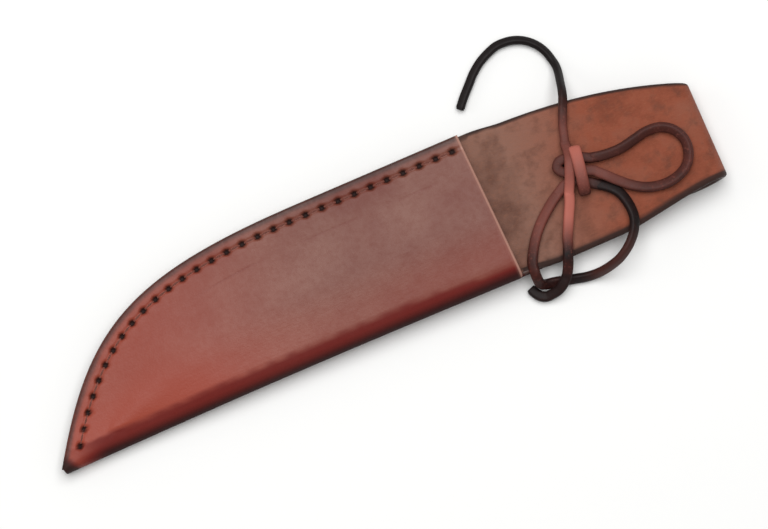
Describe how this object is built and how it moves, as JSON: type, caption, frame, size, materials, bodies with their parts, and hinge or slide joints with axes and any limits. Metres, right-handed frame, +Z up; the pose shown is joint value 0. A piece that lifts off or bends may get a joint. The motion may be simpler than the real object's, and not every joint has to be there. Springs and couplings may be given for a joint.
{
  "type": "leather knife sheath",
  "caption": "Leather knife sheath with a sewn pocket, a folded belt loop and a thong tied in a bow, lying on its back.",
  "frame": {"origin": "on the surface that it lies on, under the middle of its length and width, the bow's loops and ends left out", "axes": "+X from the tip towards the belt loop's fold, +Y from the folded edge towards the sewn edge, +Z up out of the front panel"},
  "size_m": [0.285, 0.1022, 0.0198],
  "materials": {
    "grain_leather": "dyed and waxed oxblood leather, smooth grain side, soft gloss",
    "flesh_leather": "dyed flesh side, matt and slightly fibrous, mottled brown",
    "welt_leather": "cut edges dyed dark and burnished",
    "thread": "waxed linen thread, dark red-brown",
    "thong_leather": "narrow dark leather lace, satin"
  },
  "bodies": {
    "pocket": {"front_panel": "grain_leather", "back_panel": "grain_leather", "welt_back": "welt_leather", "welt_front": "welt_leather", "seam_thread_a": "thread", "seam_thread_b": "thread", "loop_tab": "grain_leather", "loop_thread_upper": "thread", "loop_thread_lower": "thread"},
    "flap": {"belt_flap": "flesh_leather", "loop_strap": "grain_leather", "thong_bridge": "thong_leather", "bow_knot": "thong_leather", "bow_loop_right": "thong_leather", "bow_loop_lower": "thong_leather", "thong_tail_upper": "thong_leather", "thong_tail_lower": "thong_leather"}
  },
  "joints": [
    {"name": "flap_flex", "type": "hinge", "parent": "pocket", "child": "flap", "pos_m": [0.05505, 0, 0.00583], "axis": [0, -1, 0], "range_deg": [-20, 30], "stiffness_Nm_per_rad": 0.3}
  ]
}
